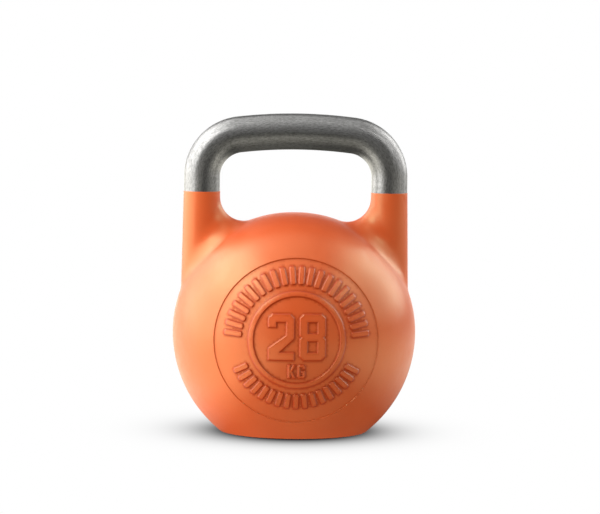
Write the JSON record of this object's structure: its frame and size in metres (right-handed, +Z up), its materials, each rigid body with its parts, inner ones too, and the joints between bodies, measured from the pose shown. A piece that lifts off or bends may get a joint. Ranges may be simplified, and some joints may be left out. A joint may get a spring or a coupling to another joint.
{
  "type": "kettlebell",
  "caption": "Ball-shaped steel kettlebell with two horns, a bent bare steel bar handle and a flat foot, hollow and loaded with a clamped stack of ballast discs.",
  "frame": {"origin": "centre of the flat foot, on the floor plane", "axes": "+Z up along the ball's axis, X along the handle bar, -Y towards the numbered front"},
  "size_m": [0.214, 0.215, 0.28],
  "materials": {
    "orange_coat": "satin orange powder coat on cast steel, fine orange peel",
    "bare_steel": "bare steel brushed along the bar",
    "pin_steel": "ground dowel steel",
    "stud_steel": "plain turned steel",
    "pad_rubber": "black nitrile sheet",
    "ballast_steel": "oiled flame cut steel",
    "shim_steel": "bright cold rolled steel",
    "washer_steel": "zinc plated",
    "spring_steel": "phosphated spring steel",
    "nut_steel": "zinc plated",
    "gasket_rubber": "black rubber sheet",
    "plate_steel": "black coated steel plate with a turned groove",
    "screw_steel": "black oxide socket screws"
  },
  "bodies": {
    "root": {"body_shell": "orange_coat", "handle": "bare_steel", "handle_pins": "pin_steel", "ballast_stud": "stud_steel", "top_pad": "pad_rubber", "ballast_disc_1": "ballast_steel", "ballast_disc_2": "ballast_steel", "ballast_disc_3": "ballast_steel", "ballast_disc_4": "ballast_steel", "ballast_disc_5": "ballast_steel", "ballast_disc_6": "ballast_steel", "ballast_disc_7": "ballast_steel", "ballast_disc_8": "ballast_steel", "trim_shims": "shim_steel", "clamp_washer": "washer_steel", "spring_washer": "spring_steel", "clamp_nut": "nut_steel", "base_gasket": "gasket_rubber", "base_plate": "plate_steel", "base_screws": "screw_steel"}
  },
  "joints": []
}
